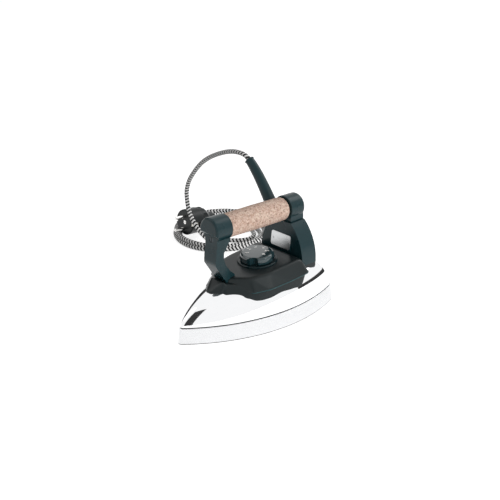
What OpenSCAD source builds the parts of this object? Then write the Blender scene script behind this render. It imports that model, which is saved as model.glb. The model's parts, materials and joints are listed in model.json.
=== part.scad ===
// Heavy dry iron with a cork grip, a thermostat dial and a braided lead.
// The tip points to -Y, the sole rests on z = 0, and +X is the iron's left side.

/* [Sole] */
// Length of the sole from tip to rear edge
sole_l = 237; // [230:1:244]
// Width of the sole at its widest
sole_w = 121; // [116:1:126]
// Thickness of the sole
sole_t = 21.5; // [20:0.5:24]
// How far the foot of the sole's side stands out from its top rim
sole_flare = 2.4; // [1:0.2:3.4]
// Radius of the sole's tip
tip_r = 4; // [3:0.5:6]
// Radius of the sole's rear corners
corner_r = 4.5; // [3.5:0.5:7]
// Height of the chamfers on the sole's edges
sole_chamfer = 0.8; // [0.4:0.1:1.2]

/* [Heater] */
// Diameter of the tubular heating element
element_d = 8; // [6:0.5:9]
// Distance between the two legs of the element
element_gap = 60; // [54:1:64]
// Thickness of the cast plate that closes the element's channel
ballast_t = 11; // [9:0.5:13]
// How far the cast plate stays inside the sole's outline
ballast_inset = 13; // [12:0.5:16]
// Diameter of the studs that hold the cover and the cast plate
stud_d = 6; // [5:0.5:7]

/* [Chrome cover] */
// How far the cover stands in from the sole's top rim
cover_step = 1; // [0.6:0.1:2]
// How far the cover stops before the sole's rear edge
cover_rear_step = 4.5; // [3:0.5:6]
// Height of the dome above the seam
dome_h = 41; // [39:0.5:43]
// Sheet thickness of the cover
cover_t = 1.2; // [1:0.1:1.6]
// Width of the dome's flat top
dome_top_w = 70.2; // [66:0.2:74]
// Distance from the foot's back to where the dome's nose reaches its full height
dome_top_gap = 23.4; // [18:0.2:28]
// Length over which the dome's rear rises to its full height
rear_run = 27; // [25:1:30]
// Thickness of the gasket between sole and cover
gasket_t = 0.8; // [0.5:0.1:1.2]

/* [Body] */
// Width of the skirt at its rim
skirt_w = 104; // [100:1:107]
// Height of the skirt's rim above the floor
rim_z = 57; // [56:0.5:58.5]
// Width of the deck along its upper edge
deck_w = 86; // [82:1:90]
// Height of the deck at the dial
deck_z = 75; // [74:0.5:78]
// Forward slope of the deck and the dial, in degrees
deck_tilt = 3.5; // [2:0.5:5]
// Wall thickness of the moulded body
body_wall = 2.6; // [2.2:0.1:3]

/* [Handle] */
// Diameter of the cork grip
cork_d = 31; // [29:0.5:32]
// Length of the cork grip
cork_l = 104; // [98:1:108]
// Diameter of the round caps at both ends of the grip
cap_d = 33.4; // [32.5:0.1:35]
// Length of the front cap
front_cap_l = 27; // [25:0.5:29]
// Length of the rear cap
rear_cap_l = 26; // [24:0.5:28]
// Height of the grip's centre above the floor
grip_z = 136.8; // [135:0.2:140]
// Slope of the grip, front end higher, in degrees
grip_tilt = 2; // [1:0.5:3]
// Width of the front post
post_w = 22; // [20:0.5:24]
// Width of the rear post at its foot
bell_w = 77.4; // [74:0.2:80]
// Depth of the rear post
bell_d = 26; // [24:0.5:28]
// Diameter of the rod that ties the grip together
rod_d = 6; // [5:0.5:7]
// Thickness of the steel brackets in the posts
bracket_t = 3; // [2.5:0.1:3.5]

/* [Dial] */
// Radius of the fixed scale ring round the dial
ring_r = 26.8; // [26:0.2:28]
// Radius of the dial knob
knob_r = 22.6; // [21.6:0.2:23.4]
// Height of the dial knob
knob_h = 10; // [9:0.5:12]
// Depth of the finger recesses in the knob's side
recess_depth = 4; // [3:0.5:5]
// Diameter of the thermostat spindle
spindle_d = 6; // [5:0.5:7]
// Distance of the dial behind the middle of the iron
dial_y = 17.2; // [16:0.2:19]

/* [Rating plate] */
// Width of the bare plate on the rear post
plate_w = 35; // [32:0.5:38]
// Height of the bare plate
plate_h = 19.5; // [17:0.5:21]
// Lean of the plate, in degrees
plate_lean = 7; // [6:0.5:9]

/* [Lead] */
// Diameter of the braided lead
cord_d = 6.6; // [6:0.2:7]
// Diameter of the rubber sleeve where it leaves the post
sleeve_base_d = 16; // [15:0.5:17]
// Diameter of the rubber sleeve before its rim
sleeve_tip_d = 11.6; // [11:0.2:12.4]
// Diameter of the round plug
plug_d = 40; // [38:0.5:40]
// Length of the plug's front body
plug_l = 22; // [20:0.5:24]

/* [Hidden] */
$fn = 64;

// clearances
clear = 0.3;         // between pieces that don't fit into each other
snug = 0.05;         // radial play of rods and bolts in their holes
run_fit = 0.05;      // radial play of the turning spindle
e = 0.01;            // makes a cut pass its face

// ---- outlines ----

function mirrored(half) =
    concat(half, [for (i = [len(half) - 1 : -1 : 0]) let (p = half[i])
        [-p[0], for (k = [1 : len(p) - 1]) p[k]]]);
function arc(c, r, a0, a1, n) =
    [for (i = [0 : n]) c + r * [cos(a0 + (a1 - a0) * i / n), sin(a0 + (a1 - a0) * i / n)]];

// Outline of an iron: a blunt front of half width x0 with rounded corners r0, one long
// arc down each side, widest at yw, and a straight rear edge with rounded corners r1.
function iron_outline(w, y0, y1, yw, r0, r1, x0 = 0) =
    let (b = yw - y0 - r0,
         v = w - x0,
         r = (v * v + b * b - r0 * r0) / (2 * (v - r0)),
         xc = w - r + sqrt(pow(r - r1, 2) - pow(y1 - r1 - yw, 2)),
         a0 = atan2(-b, r - v),
         a1 = atan2(y1 - r1 - yw, xc - w + r))
    mirrored(concat(arc([x0, y0 + r0], r0, -90, a0, 4),
                    arc([w - r, yw], r, a0, a1, 12),
                    arc([xc, y1 - r1], r1, a1, 90, 4)));

// Fillet of radius r at the corner p between its neighbours a and b.
function fillet(p, a, b, r, n) =
    let (u = (a - p) / norm(a - p),
         v = (b - p) / norm(b - p),
         h = acos(u * v) / 2,
         c = p + (u + v) / norm(u + v) * r / sin(h),
         s = p + u * r / tan(h) - c,
         t = p + v * r / tan(h) - c,
         a0 = atan2(s[1], s[0]),
         turn = atan2(t[1], t[0]) - a0,
         sweep = turn > 180 ? turn - 360 : turn < -180 ? turn + 360 : turn)
    arc(c, r, a0, a0 + sweep, n);

// Polygon whose points are [x, y, corner radius].
function rounded(pts, n = 5) =
    [for (i = [0 : len(pts) - 1])
        let (p = pts[i], k = len(pts), a = pts[(i + k - 1) % k], b = pts[(i + 1) % k])
        each p[2] > 0
            ? fillet([p[0], p[1]], [a[0], a[1]], [b[0], b[1]], p[2], n)
            : [[p[0], p[1]]]];

module layer(z, pts) translate([0, 0, z]) linear_extrude(e) polygon(pts);

// Extrudes a side profile, given in (y, z), over the width w in x.
module side_profile(w, pts)
    translate([-w / 2, 0, 0]) rotate([90, 0, 90]) linear_extrude(w) polygon(pts);

// Extrudes a front profile, given in (x, z), from y0 to y1.
module front_profile(y0, y1, pts)
    translate([0, y1, 0]) rotate([90, 0, 0]) linear_extrude(y1 - y0) polygon(pts);

// Tube of round rings along a route of points, with one radius for each point.
module swept(route, radii, sides = 10) {
    n = len(route);
    side = [for (i = [0 : n - 1])
        let (t = route[min(i + 1, n - 1)] - route[max(i - 1, 0)])
        t / norm(t)];
    frames = [for (i = [0 : n - 1]) ring_axis(side, i)];
    points = [for (i = [0 : n - 1]) for (k = [0 : sides - 1])
        let (u = frames[i], w = cross(side[i], u), a = 360 * k / sides)
        route[i] + radii[i] * (cos(a) * u + sin(a) * w)];
    walls = [for (i = [0 : n - 2]) for (k = [0 : sides - 1])
        let (a = i * sides + k, b = i * sides + (k + 1) % sides)
        [a, a + sides, b + sides, b]];
    ends = [[for (k = [0 : sides - 1]) k],
            [for (k = [sides - 1 : -1 : 0]) (n - 1) * sides + k]];
    polyhedron(points, concat(walls, ends), convexity = 6);
}

// Direction across the route at point i, carried along it so that the tube doesn't twist.
function ring_axis(dirs, i) =
    let (t = dirs[i],
         last = i == 0 ? (abs(t[2]) > 0.9 ? [0, 1, 0] : [0, 0, 1]) : ring_axis(dirs, i - 1),
         v = last - (last * t) * t)
    v / norm(v);

// Smooth curve through the points of a route, with steps between each pair.
function spline(p, steps) =
    let (n = len(p))
    concat([for (i = [0 : n - 2]) for (k = [0 : steps - 1])
        let (a = p[max(i - 1, 0)], b = p[i], c = p[i + 1], d = p[min(i + 2, n - 1)], t = k / steps)
        0.5 * (2 * b + (c - a) * t + (2 * a - 5 * b + 4 * c - d) * t * t
               + (3 * b - a - 3 * c + d) * t * t * t)],
        [p[n - 1]]);

// ---- levels and stations worked out from the sizes ----

tip_y = -sole_l / 2;
rear_y = sole_l / 2;
widest_y = 32;
seam_z = sole_t + gasket_t;
dome_z = seam_z + dome_h;
ballast_z = sole_t + ballast_t;
element_z = sole_t - element_d / 2 - clear;
insulation_t = 1.5;
dome_w = sole_w / 2 - sole_flare - cover_step;        // half width of the dome at the seam
dome_y0 = tip_y + sole_flare + cover_step;            // its front and rear at the seam
dome_y1 = rear_y - cover_rear_step;

rim_w = skirt_w / 2;                 // half widths
deck_x = deck_w / 2;
rim_drop = deck_z - rim_z;           // the rim lies in a plane below the deck
hem_z = rim_z - 10.7;                // lower edge of the skirt
foot_y = -51.5;                      // back of the foot in front of the post
saddle_z = 66;                       // where the front post stands on skirt and deck

bell_y = 62;                         // front face of the rear post
bell_back = bell_y + bell_d;
bell_z = 118;                        // shoulder of the rear post
cover_plate_t = 3;                   // cover over the terminals
rear_strip_y = bell_back - cover_plate_t - clear - bracket_t - 1;
neck_w = 28;
rim_y1 = bell_y - 2;

grip_y = 12;                         // middle of the cork grip
grip_half = cork_l / 2;
core_d = rod_d + 8;                  // tube that lines the cork

post_face = -62.5;                   // front face of the front post at its top
post_back = -51;
post_top = 131;
strip_w = 14;                        // width of the brackets
strip_y = -57.5;                     // front of the front bracket's upright

front_stud_y = -12;
rear_stud_y = 73;
stud_spots = [front_stud_y, rear_stud_y];
nut_d = 2 * stud_d - 0.5;
nut_h = 3.2;
element_front = -38;                 // centre of the element's bend
element_back = 60;

// ---- sole and heater ----

module sole_layer(z, flare, g = 0)
    layer(z, iron_outline(sole_w / 2 - flare + g, tip_y + flare - g, rear_y + g, widest_y,
                          tip_r + g, corner_r + g));

module element_path(d) {
    r = element_gap / 2;
    difference() {
        union() {
            translate([0, element_front]) circle(r + d / 2);
            translate([-r - d / 2, element_front])
                square([2 * r + d, element_back - element_front + d / 2]);
        }
        translate([0, element_front]) circle(r - d / 2);
        translate([-r + d / 2, element_front])
            square([2 * r - d, element_back - element_front + d]);
    }
}

module soleplate() {
    channel = element_d + 2 * clear;
    color("gainsboro") difference() {
        hull() {
            sole_layer(0, 0, -sole_chamfer);
            sole_layer(sole_chamfer, 0);
            sole_layer(sole_t - sole_chamfer, sole_flare);
            sole_layer(sole_t - e, sole_flare, -sole_chamfer);
        }
        translate([0, 0, sole_t - channel]) linear_extrude(channel + 1) element_path(channel);
        for (y = stud_spots) translate([0, y, sole_t - 13]) cylinder(d = stud_d + 2 * snug, h = 14);
    }
}

module heating_element() {
    r = element_gap / 2;
    color("dimgray") {
        translate([0, element_front, element_z]) rotate([0, 0, 180])
            rotate_extrude(angle = 180) translate([r, 0]) circle(d = element_d, $fn = 32);
        for (x = [-r, r]) {
            translate([x, element_front, element_z]) rotate([-90, 0, 0])
                cylinder(d = element_d, h = element_back - element_front + 3, $fn = 32);
            translate([x, element_back - 2, element_z])
                cylinder(d = element_d - 1, h = ballast_z + 3 - element_z, $fn = 32);
        }
    }
}

module at_element_ends(z)
    for (x = [-1, 1] * element_gap / 2) translate([x, element_back - 2, z]) children();

module element_insulators() {
    color("ivory") at_element_ends(ballast_z + 3) difference() {
        cylinder(d = element_d + 2, h = 5);
        translate([0, 0, -1]) cylinder(d = 3 + 2 * snug, h = 7);
    }
}

module element_pins() {
    color("silver") at_element_ends(ballast_z + 3) {
        cylinder(d = 3, h = 10);
        translate([0, 0, 5]) cylinder(d = 6, h = 2);
    }
}

module ballast_plate() {
    g = -ballast_inset;
    color("slategray") difference() {
        translate([0, 0, sole_t]) linear_extrude(ballast_t)
            polygon(iron_outline(sole_w / 2 + g, tip_y - 2 * g, rear_y + g, widest_y,
                                 tip_r + 4, corner_r + 2));
        for (y = stud_spots) translate([0, y, sole_t - 1]) cylinder(d = stud_d + 2 * clear, h = ballast_t + 2);
        at_element_ends(sole_t - 1) cylinder(d = element_d + 2 * clear, h = ballast_t + 2);
    }
}

module studs() {
    color("silver") for (y = stud_spots)
        translate([0, y, sole_t - 12.5]) cylinder(d = stud_d, h = dome_z + bracket_t + nut_h + 13 - sole_t);
}

module hex_nut(z) {
    translate([0, 0, z]) difference() {
        cylinder(d = nut_d, h = nut_h, $fn = 6);
        translate([0, 0, -1]) cylinder(d = stud_d + 2 * snug, h = nut_h + 2);
    }
}

module stud_nuts() {
    color("silver") for (y = stud_spots) translate([0, y, 0]) {
        hex_nut(ballast_z);
        hex_nut(dome_z + bracket_t);
    }
}

// ---- chrome cover ----

// Share of a run that the dome has moved in at the share t of its height.
function dome_inset(t, bend = 2) = 1 - pow(1 - pow(t, bend), 1 / bend);
nose_bend = 1.6;

// Outline of the dome's outside at the share t of its height, g larger all round.
function dome_outline(t, g = 0) =
    let (k = dome_inset(t),
         n = (foot_y + dome_top_gap - dome_y0) * dome_inset(t, nose_bend),
         r = rear_run * k,
         w = dome_w - (dome_w - dome_top_w / 2) * k + g)
    iron_outline(w, dome_y0 + n - g, dome_y1 - r + g,
                 widest_y, min(tip_r + 0.3 * n, w - 5), corner_r + 0.35 * r);

dome_steps = [0, 0.16, 0.32, 0.46, 0.58, 0.69, 0.79, 0.87, 0.93, 0.97, 1];

module dome(g) {
    hull() for (t = dome_steps) layer(seam_z + (dome_h + g - e) * t, dome_outline(t, g));
}

module at_studs(d) for (y = stud_spots) translate([0, y, dome_z - 8]) cylinder(d = d, h = 20);

module thermostat_hole(r) translate([0, dial_y, dome_z - 8]) cylinder(r = r, h = 12);

module chrome_cover() {
    color("white") difference() {
        dome(0);
        translate([0, 0, -e]) dome(-cover_t);
        at_studs(stud_d + 2 * clear);
        thermostat_hole(14);
        wire_holes(dome_z - 8);
    }
}

module wire_holes(z) for (x = [-16, 16]) translate([x, rear_stud_y, z]) cylinder(d = 9, h = 12);

module seam_gasket() {
    color("black") translate([0, 0, sole_t]) linear_extrude(gasket_t) difference() {
        polygon(dome_outline(0, -0.4));
        polygon(dome_outline(0, -5));
    }
}

module insulation_plate() {
    color("tan") difference() {
        translate([0, 0, dome_z]) linear_extrude(insulation_t)
            polygon(rounded([[-28, 0, 6], [28, 0, 6], [28, rim_y1 - 4, 6], [-28, rim_y1 - 4, 6]]));
        thermostat_hole(14);
    }
}

// ---- body ----

// Widest outline of the body, in the plane of the rim, smaller by g all round.
function rim_outline(g = 0) = rounded(mirrored([
    [13 - g / 3, -63 + g, 4],
    [rim_w - 12 - g, -46 + g / 2, 7],
    [rim_w - 3 - g, -25, 30],
    [rim_w - g, 9, 100],
    [rim_w - g, rim_y1 - dial_y - g, 8]]));

// Lower edge of the skirt, which lies on the dome.
function hem_outline(g = 0) = rounded(mirrored([
    [16 - g / 3, -62 + g, 6],
    [rim_w - 22 - g, -53 + g, 8],
    [rim_w - 15 - g, -43 + g / 2, 12],
    [rim_w - 4.5 - g, -14, 60],
    [rim_w + 1 - g, 26, 60],
    [rim_w + 0.5 - g, rim_y1 - 12 - g, 8]]));

// Outline of the deck in its own tilted plane, smaller by g all round.
function deck_outline(g = 0) = rounded(mirrored([
    [11 - g / 3, -63 + g, 4],
    [deck_x - 7 - g, -44 + g / 2, 10],
    [deck_x - g, -16, 60],
    [deck_x + 1 - g, bell_y - dial_y - 2 * clear, 5]]));

module at_dial() translate([0, dial_y, deck_z]) rotate([deck_tilt, 0, 0]) children();

// The space that the deck housing fills, smaller by g on every side but its bottom, which
// is lower by low.
module deck_form(g, low = 0) {
    hull() at_dial() {
        layer(-rim_drop - low, rim_outline(g));
        layer(-5.2 - g, deck_outline(g));
        layer(-2 - g, deck_outline(1.6 + g));
        layer(-g - e, deck_outline(5 + g));
    }
}

// The space under the dome's outside and its clearance, where the body stands on it.
module under_dome() {
    hull() for (t = [for (t = dome_steps) if (t > 0.5) t])
        layer(seam_z + (dome_h + clear) * t, dome_outline(t, clear));
}

module skirt_form(g) {
    hull() {
        layer(hem_z, hem_outline(g));
        at_dial() layer(-rim_drop - e, rim_outline(g));
        translate([g - 13, foot_y + g, saddle_z - 1 - g]) cube([26 - 2 * g, 10, 1]);
    }
}

foot_w = 38;
foot_crest_w = 24;
foot_l = 17.5;                       // how far it runs down the nose
foot_low = dome_z - 13.3;
foot_edge = dome_z - 6.3;
foot_crest = saddle_z + 3.5;

module foot() {
    a = foot_w / 2;
    b = foot_crest_w / 2;
    hull() {
        translate([-3, foot_y - foot_l, foot_low]) cube([6, 1, foot_edge - foot_low]);
        front_profile(foot_y - 1, foot_y, [[-a, foot_low], [a, foot_low], [a, foot_edge],
                                           [b, foot_crest], [-b, foot_crest], [-a, foot_edge]]);
    }
}

module skirt() {
    color("darkslategray") difference() {
        union() {
            skirt_form(0);
            foot();
        }
        translate([0, 0, -e]) skirt_form(body_wall);
        deck_form(0);
        under_dome();
    }
}

module deck_housing() {
    color("darkslategray") difference() {
        deck_form(0);
        deck_form(body_wall, 1);
        under_dome();
        at_dial() translate([0, 0, -10]) cylinder(r = 8, h = 20);
        translate([-strip_w / 2 - clear, strip_y + 14, rim_z])
            cube([strip_w + 2 * clear, bracket_t + 3, 30]);
    }
}

// ---- posts ----

// Side of the steel strip in the front post, g larger, from its foot to its eye.
function front_strip(g) =
    let (y = strip_y - g, w = bracket_t + 2 * g)
    [[front_stud_y + 7, dome_z - g], [front_stud_y + 7, dome_z + bracket_t + g],
     [y + 15 + w, dome_z + bracket_t + g], [y + 15 + w, 75], [y + w, 98], [y + w, 147 + g],
     [y, 147 + g], [y, 97], [y + 15, 74], [y + 15, dome_z - g]];

module front_post() {
    color("darkslategray") difference() {
        side_profile(post_w, [
            [post_face, post_top], [post_face, 118], [post_face - 1.6, 110],
            [post_face - 2.7, 99], [post_face - 2.5, 94], [foot_y + 1.6, 71],
            [foot_y + 4, saddle_z + clear], [-33, saddle_z + clear], [-33, 74], [-41, 81],
            [-48, 91], [post_back, 99], [post_back, post_top]]);
        deck_form(-snug);
        side_profile(strip_w + 2 * clear, front_strip(clear));
        at_post_screw() cylinder(d = 4 + 2 * snug, h = 12);
        at_post_screw() translate([0, 0, -6]) cylinder(d = 7.4, h = 8);
    }
}

post_screw_z = 126.5;
module at_post_screw() translate([0, post_face, post_screw_z]) rotate([-90, 0, 0]) children();

module post_screw() {
    color("silver") at_post_screw() difference() {
        union() {
            translate([0, 0, 0.4]) cylinder(d = 7, h = 1.6);
            translate([0, 0, 2]) cylinder(d = 4, h = bracket_t - 1 - clear + strip_y - post_face);
        }
        translate([-0.5, -5, -0.5]) cube([1, 10, 1.6]);
    }
}

module front_bracket() {
    color("silver") difference() {
        side_profile(strip_w, front_strip(0));
        at_grip() rotate([90, 0, 0])
            cylinder(d = rod_d + 2 * clear, h = 90);
        translate([0, front_stud_y, dome_z - 1]) cylinder(d = stud_d + 2 * clear, h = 8);
        at_post_screw() translate([0, 0, 3]) cylinder(d = 4 + 2 * snug, h = 8);
    }
}

// Half of the rear post's outline: an arc from the foot to the shoulder.
function bell_outline(g = 0) =
    let (r = 67.3, c = bell_w / 2 - r)
    mirrored(concat([[bell_w / 2 - g, dome_z + clear]],
                    arc([c, 68], r - g, 0, asin((bell_z - 68 - g) / (r - g)), 10)));

gland_at = [-15, bell_y + 12.5, 99]; // lower end of the gland
gland_lean = 33.4;                   // lean of the gland to the iron's right side

module at_gland() translate(gland_at) rotate([0, -gland_lean, 0]) children();

module rear_post() {
    inside_y = bell_y + body_wall;
    color("darkslategray") difference() {
        union() {
            front_profile(bell_y, bell_back, bell_outline());
            side_profile(plate_w, [[bell_y + 1, plate_z + plate_h / 2], [bell_y, plate_z + plate_h / 2],
                [bell_y - plate_drop, plate_z - plate_h / 2], [bell_y + 1, plate_z - plate_h / 2]]);
        }
        front_profile(inside_y, bell_back + 1, bell_inside());
        at_gland() cylinder(d = gland_d + 2 * snug, h = 30);
        translate([-strip_w / 2 - clear, inside_y, bell_z - 10])
            cube([strip_w + 2 * clear, bell_d, 20]);
        at_plate() for (x = plate_rivet_x) translate([x, 0, -7]) cylinder(d = 2 + 2 * snug, h = 9);
    }
    color("darkslategray") at_cover_screws() translate([0, 0, cover_plate_t]) difference() {
        cylinder(d = 7, h = bell_d - cover_plate_t - body_wall);
        translate([0, 0, -1]) cylinder(d = 3 + 2 * snug, h = 12);
    }
}

function bell_inside() =
    [for (p = bell_outline(body_wall)) [p[0], p[1] < dome_z + 5 ? dome_z - 5 : p[1]]];

module at_cover_screws()
    for (x = [-1, 1] * 24) translate([x, bell_back, 88]) rotate([90, 0, 0]) children();

module terminal_cover() {
    color("darkslategray") difference() {
        front_profile(bell_back - cover_plate_t, bell_back,
            [for (p = bell_outline(body_wall + clear)) [p[0], max(p[1], dome_z + clear)]]);
        at_cover_screws() translate([0, 0, -1]) cylinder(d = 3 + 2 * clear, h = 10);
        at_cover_screws() translate([0, 0, -1]) cylinder(d = 6.2, h = 2.2);
    }
}

module terminal_cover_screws() {
    color("silver") at_cover_screws() difference() {
        union() {
            translate([0, 0, 0.2]) cylinder(d = 5.8, h = 1);
            cylinder(d = 3, h = 12);
        }
        translate([-3, -0.4, -0.5]) cube([6, 0.8, 1.2]);
    }
}

module rear_bracket() {
    color("silver") difference() {
        union() {
            translate([-strip_w / 2, bell_y + 4, dome_z])
                cube([strip_w, rear_strip_y - bell_y - 4 + bracket_t, bracket_t]);
            translate([-strip_w / 2, rear_strip_y, dome_z])
                cube([strip_w, bracket_t, 142 - dome_z]);
        }
        at_grip() rotate([-90, 0, 0]) cylinder(d = rod_d + 2 * clear, h = 90);
        translate([0, rear_stud_y, dome_z - 1]) cylinder(d = stud_d + 2 * clear, h = 8);
    }
}

// ---- grip ----

module at_grip() translate([0, grip_y, grip_z]) rotate([-grip_tilt, 0, 0]) children();

// Turns a profile of [radius, station] points about the grip's axis.
module on_grip(profile) at_grip() rotate([-90, 0, 0]) rotate_extrude() polygon(profile);

module cork_grip() {
    r = cork_d / 2;
    bore = core_d / 2 + snug;
    color("burlywood") on_grip(concat(
        [[bore, -grip_half], [r - 2, -grip_half]],
        arc([r - 2, -grip_half + 2], 2, -80, 0, 4),
        [[r + 0.5, 0]],
        arc([r - 6, grip_half - 6], 6, 0, 90, 6),
        [[bore, grip_half]]));
}

module grip_tube() {
    color("silver") on_grip([[rod_d / 2 + clear, -grip_half], [core_d / 2, -grip_half],
                             [core_d / 2, grip_half], [rod_d / 2 + clear, grip_half]]);
}

rod_nut_r = 5.5;
rod_nut_l = 4;
rod_start = strip_y - clear - rod_nut_l - grip_y;     // stations along the grip
rod_head = rear_strip_y + bracket_t + clear - grip_y;

gusset_low = 108;                    // web between the front cap and the back of the post
gusset_l = 10;

module front_cap() {
    r = cap_d / 2;
    face = -grip_half - front_cap_l;
    color("darkslategray") difference() {
        union() {
            on_grip(concat(
                [[0, face], [r - 3, face]],
                arc([r - 3, face + 3], 3, -80, 0, 4),
                arc([r - 1, -grip_half - 1], 1, 10, 80, 3),
                [[0, -grip_half]]));
            side_profile(post_w, [[post_back - 1, gusset_low], [post_back, gusset_low],
                [post_back + gusset_l, grip_z - r + 2], [post_back + gusset_l, grip_z - 5],
                [post_back - 1, grip_z - 5]]);
        }
        on_grip([[0, rod_start - clear], [rod_nut_r + clear, rod_start - clear],
                 [rod_nut_r + clear, rod_start + rod_nut_l + clear],
                 [rod_d / 2 + clear, rod_start + rod_nut_l + clear],
                 [rod_d / 2 + clear, -grip_half + 1], [0, -grip_half + 1]]);
        translate([-post_w / 2 - snug, post_face - snug, gusset_low - 1])
            cube([post_w + 2 * snug, post_back - post_face + 2 * snug, post_top - gusset_low + 1 + snug]);
        side_profile(strip_w + 2 * clear, front_strip(clear));
        side_profile(cap_d + 2, [[post_face - 8, grip_z + 3], [post_face, grip_z - 5],
                                 [post_face, grip_z - 22], [post_face - 8, grip_z - 22]]);
    }
}

module rear_cap() {
    r = cap_d / 2;
    back = grip_half + rear_cap_l;
    color("darkslategray") difference() {
        union() {
            on_grip(concat(
                [[0, grip_half]],
                arc([r - 1, grip_half + 1], 1, -80, -10, 3),
                arc([r - 5, back - 5], 5, 0, 80, 6),
                [[0, back]]));
            translate([-neck_w / 2, grip_y + grip_half + 1, bell_z])
                cube([neck_w, bell_back - grip_y - grip_half - 1, grip_z - bell_z - 2]);
        }
        on_grip([[0, grip_half - 1], [rod_d / 2 + clear, grip_half - 1],
                 [rod_d / 2 + clear, rod_head], [6.5, rod_head], [6.5, back + 1], [0, back + 1]]);
        translate([-strip_w / 2 - clear, bell_back - 8.5, bell_z - 1])
            cube([strip_w + 2 * clear, bracket_t + 2.5, 145 - bell_z]);
    }
}

module tie_rod() {
    color("silver") difference() {
        on_grip([[0, rod_start], [rod_d / 2, rod_start], [rod_d / 2, rod_head], [5.5, rod_head],
                 [5.5, rod_head + 4], [0, rod_head + 4]]);
        at_grip() translate([-6, rod_head + 2.5, -0.6]) cube([12, 3, 1.2]);
    }
}

module rod_nut() {
    color("silver") on_grip([[rod_d / 2 + snug, rod_start], [rod_nut_r, rod_start],
                             [rod_nut_r, rod_start + rod_nut_l],
                             [rod_d / 2 + snug, rod_start + rod_nut_l]]);
}

// ---- rating plate ----

plate_t = 0.8;
plate_z = 90.5;
plate_rivet_x = [-1, 1] * (plate_w / 2 - 2.5);

plate_drop = plate_h * tan(plate_lean);

// Origin in the middle of the plate's back, with Z along the plate's normal.
module at_plate()
    translate([0, bell_y - plate_drop / 2, plate_z]) rotate([90 - plate_lean, 0, 0]) children();

module rating_plate() {
    color("silver") at_plate() difference() {
        linear_extrude(plate_t) polygon(rounded([
            [-plate_w / 2, -plate_h / 2, 2.5], [plate_w / 2, -plate_h / 2, 2.5],
            [plate_w / 2, plate_h / 2, 2.5], [-plate_w / 2, plate_h / 2, 2.5]], 3));
        for (x = plate_rivet_x) translate([x, 0, -1]) cylinder(d = 2 + 2 * snug, h = 3);
    }
}

module plate_rivets() {
    color("silver") at_plate() for (x = plate_rivet_x) translate([x, 0, 0]) {
        translate([0, 0, -3.4]) cylinder(d = 2, h = 3.9 + plate_t);
        translate([0, 0, plate_t]) cylinder(d = 3.4, h = 0.6);
    }
}

// ---- dial ----

knob_z = 2.3;                        // underside of the knob above the deck
recess_r = 6.5;
bush_d = 10;
plate_top = -18.5;                   // top of the thermostat bracket, below the deck
body_top = -24.5;
body_l = 20;
bracket_sheet = 1.5;

module dial_ring() {
    color("darkslategray") at_dial() rotate_extrude() polygon(concat(
        [[8, 0], [ring_r, 0]], arc([ring_r - 1, 1], 1, 10, 80, 3),
        [[knob_r + 1.4, 2], [knob_r + 1, 1.6], [8, 1.6]]));
}

module dial_knob() {
    color("black") at_dial() difference() {
        rotate_extrude($fn = 96) polygon(concat(
            [[0, knob_z], [knob_r - 1, knob_z]],
            arc([knob_r - 1, knob_z + 1], 1, -80, 0, 3),
            arc([knob_r - 4.4, knob_z + knob_h - 4], 4, 5, 80, 5),
            [[0, knob_z + knob_h + 0.6]]));
        for (a = [0 : 90 : 270]) rotate([0, 0, a + 35])
            translate([knob_r + recess_r - recess_depth, 0, 0]) cylinder(r = recess_r, h = 30);
        cylinder(d = spindle_d + 2 * snug, h = knob_z + knob_h - 2);
        cylinder(d = 12, h = knob_z + 4);
    }
}

module knob_clip() {
    color("silver") at_dial() translate([0, 0, knob_z + 1.2]) difference() {
        cylinder(d = 12 - 2 * clear, h = 1);
        translate([0, 0, -1]) cylinder(d = spindle_d + 2 * snug, h = 3);
        translate([-1.5, 0, -1]) cube([3, 10, 3]);
    }
}

module thermostat_spindle() {
    color("goldenrod") at_dial() {
        translate([0, 0, body_top + 1.5]) cylinder(d = spindle_d, h = knob_z + knob_h - 2.5 - body_top - 1.5);
        translate([0, 0, body_top + 0.3]) cylinder(d = spindle_d / 2, h = 1.2);
    }
}

module thermostat_bush() {
    color("goldenrod") at_dial() difference() {
        union() {
            translate([0, 0, plate_top - 3.5]) cylinder(d = bush_d + 4, h = 2 - snug);
            translate([0, 0, plate_top - 3.5]) cylinder(d = bush_d, h = 14);
        }
        translate([0, 0, plate_top - 5]) cylinder(d = spindle_d + 2 * run_fit, h = 20);
    }
}

// Point in the (y, z) plane of the iron, from a point in the dial's tilted frame.
function dial_point(y, z) = [dial_y + y * cos(deck_tilt) - z * sin(deck_tilt),
                             deck_z + y * sin(deck_tilt) + z * cos(deck_tilt)];

module thermostat_bracket() {
    inner = body_l / 2 + clear;
    outer = inner + bracket_sheet;
    floor_z = ballast_z - deck_z;
    y0 = dial_point(-outer, floor_z)[0];
    y1 = dial_point(outer, floor_z)[0];
    top = ballast_z + bracket_sheet;
    color("silver") difference() {
        side_profile(24, [
            [y0 - 7, ballast_z], [y0 - 7, top], [y0, top], dial_point(-outer, plate_top),
            dial_point(outer, plate_top), [y1, top], [y1 + 7, top], [y1 + 7, ballast_z],
            [y1 - bracket_sheet, ballast_z], dial_point(inner, plate_top - bracket_sheet),
            dial_point(-inner, plate_top - bracket_sheet), [y0 + bracket_sheet, ballast_z]]);
        at_dial() translate([0, 0, plate_top - 5]) cylinder(d = bush_d + 2 * snug, h = 10);
    }
}

module thermostat_body() {
    color("ivory") at_dial() difference() {
        translate([-13, -body_l / 2, body_top - 11.5]) cube([26, body_l, 11.5]);
        translate([0, 0, body_top - 2]) cylinder(d = 5, h = 4);
    }
}

module bimetal_blade() {
    color("goldenrod") translate([-26, dial_y - 1.5, ballast_z]) {
        cube([8, 8, 3]);
        translate([0, 0, 3]) cube([44, 8, 0.8]);
    }
}

module thermal_fuse() {
    color("white") translate([-14, 44, ballast_z + 2.6]) rotate([0, 90, 0]) cylinder(d = 5, h = 24);
}

// ---- terminals ----

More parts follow.
